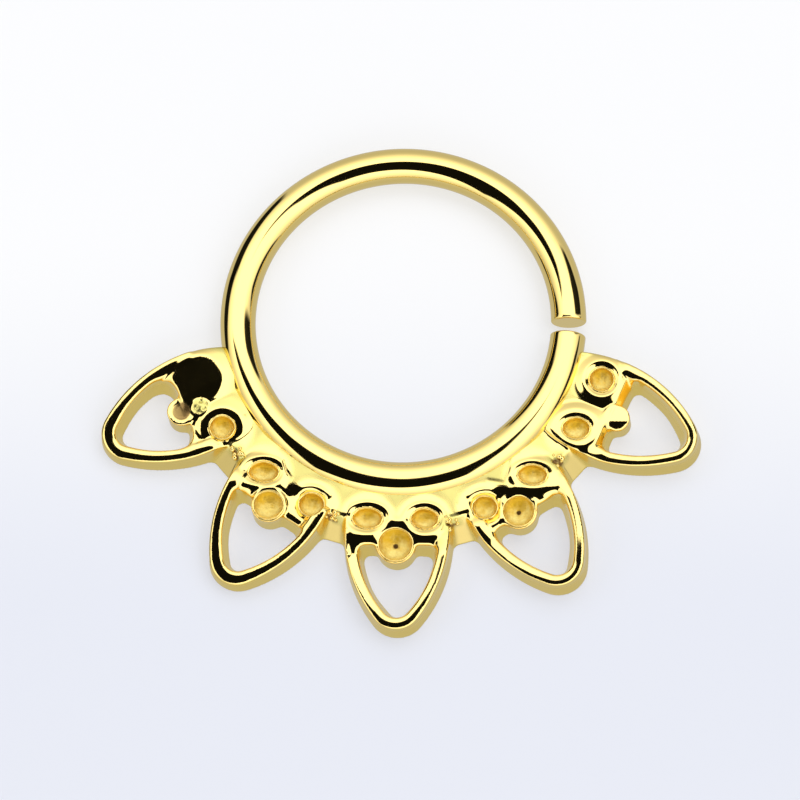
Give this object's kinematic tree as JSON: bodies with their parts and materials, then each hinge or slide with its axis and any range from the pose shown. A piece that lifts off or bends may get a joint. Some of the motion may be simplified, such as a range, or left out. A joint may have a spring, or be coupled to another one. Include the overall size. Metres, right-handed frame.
{
  "type": "septum ring",
  "caption": "Ring worn through the nasal septum: a round-wire hoop with a small gap, and a soldered fan of open petals with empty stone seats along its lower side.",
  "frame": {"origin": "middle of the ring's outline at its flat back, where it lies on a surface", "axes": "+Z out of the front with the raised rims, +X towards the side with the gap, and the fan of petals points to -Y"},
  "size_m": [0.0202, 0.0172, 0.0012],
  "materials": {
    "gold": "polished gold colour, matte inside the stone seats"
  },
  "bodies": {
    "root": {"septum_ring": "gold"}
  },
  "joints": []
}
